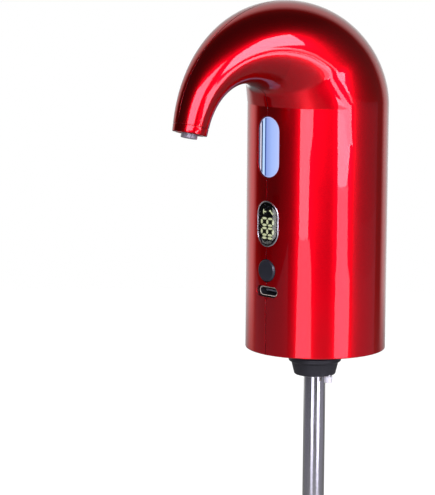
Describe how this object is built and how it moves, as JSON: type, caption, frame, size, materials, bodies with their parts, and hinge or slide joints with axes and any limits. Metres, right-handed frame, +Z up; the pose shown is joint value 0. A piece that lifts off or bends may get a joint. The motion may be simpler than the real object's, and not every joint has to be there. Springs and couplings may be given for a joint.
{
  "type": "electric wine aerator",
  "caption": "Red gooseneck pump head that plugs into a wine bottle's mouth, lifts wine through a telescopic dip tube and pours it aerated from its spout.",
  "frame": {"origin": "on the bottle's axis, in the plane of the bottle's rim, where the stopper's flange rests", "axes": "+Z up along the bottle's axis, -Y towards the spout and the controls, X = 0 is the casing's seam"},
  "size_m": [0.051, 0.0947, 0.2766],
  "materials": {
    "casing_red": "high-gloss metallic red lacquer",
    "nozzle_grey": "moulded satin plastic",
    "hose_silicone": "clear silicone hose",
    "pour_lens": "translucent lens lit from behind in blue-white",
    "display_glass": "smoked glossy window",
    "display_bars": "lit display bars",
    "bright_trim": "bright plated trim",
    "button_black": "glossy black plastic",
    "black_plastic": "moulded black plastic",
    "board_green": "printed circuit board",
    "frame_white": "moulded off-white plastic",
    "steel": "stainless steel",
    "tube_steel": "polished stainless tube",
    "cell_sleeve": "sleeved lithium cell",
    "contact_brass": "plated contact strip and sintered bronze",
    "winding_copper": "enamelled copper wire",
    "magnet_grey": "ferrite magnet",
    "seal_black": "black silicone rubber",
    "lead_red": "insulated lead"
  },
  "bodies": {
    "aerator_head": {"left_casing": "casing_red", "right_casing": "casing_red", "casing_dowels": "steel", "spout_ring": "casing_red", "aerator_nozzle": "nozzle_grey", "spout_hose": "hose_silicone", "hose_clips": "steel", "pour_switch": "black_plastic", "pour_leds": "pour_lens", "display_bezel": "bright_trim", "display_window": "display_glass", "display_module": "black_plastic", "display_segments": "display_bars", "power_switch": "black_plastic", "usb_socket": "bright_trim", "usb_tongue": "black_plastic", "control_board": "board_green", "board_screws": "steel", "inner_frame": "frame_white", "frame_screws": "steel", "battery_cell": "cell_sleeve", "battery_contacts": "contact_brass", "motor_can": "steel", "motor_cap": "black_plastic", "motor_magnets": "magnet_grey", "motor_bushes": "contact_brass", "motor_brushes": "black_plastic", "motor_terminals": "contact_brass", "motor_screws": "steel", "pump_base": "frame_white", "pump_housing": "frame_white", "pump_gasket": "seal_black", "pump_cover": "frame_white", "pump_screws": "steel", "shaft_seal": "seal_black", "idler_pin": "steel", "base_plate": "frame_white", "base_screws": "steel", "stopper": "seal_black", "tube_socket": "frame_white", "suction_hose": "hose_silicone", "temperature_sensor": "black_plastic", "vent_valve": "frame_white", "upper_tube": "tube_steel", "tube_seal": "seal_black", "battery_leads": "lead_red", "motor_leads": "lead_red"},
    "pour_button_body": {"pour_button": "pour_lens", "pour_plunger": "black_plastic"},
    "power_button_body": {"power_button": "button_black", "power_plunger": "black_plastic"},
    "pump_rotor": {"motor_shaft": "steel", "motor_armature": "steel", "motor_windings": "winding_copper", "motor_commutator": "contact_brass", "drive_gear": "frame_white"},
    "pump_idler": {"idler_gear": "frame_white"},
    "sliding_tube": {"lower_tube": "tube_steel", "stop_collar": "frame_white", "intake_foot": "seal_black"}
  },
  "joints": [
    {"name": "pour_press", "type": "slide", "parent": "aerator_head", "child": "pour_button_body", "axis": [0, 1, 0], "range_m": [0, 0.0008], "stiffness_N_per_m": 2500, "springref_m": -0.0004},
    {"name": "power_press", "type": "slide", "parent": "aerator_head", "child": "power_button_body", "axis": [0, 1, 0], "range_m": [0, 0.0006], "stiffness_N_per_m": 2500, "springref_m": -0.0003},
    {"name": "pump_spin", "type": "hinge", "parent": "aerator_head", "child": "pump_rotor", "pos_m": [0.00505, 0.0052, 0.045], "axis": [0, 0, 1], "continuous": true},
    {"name": "idler_spin", "type": "hinge", "parent": "aerator_head", "child": "pump_idler", "pos_m": [-0.00505, 0.0052, 0.0273], "axis": [0, 0, 1], "continuous": true},
    {"name": "tube_extend", "type": "slide", "parent": "aerator_head", "child": "sliding_tube", "axis": [0, 0, -1], "range_m": [0, 0.115]}
  ],
  "couplings": [
    {"joint": "idler_spin", "follows": "pump_spin", "ratio": -1}
  ]
}
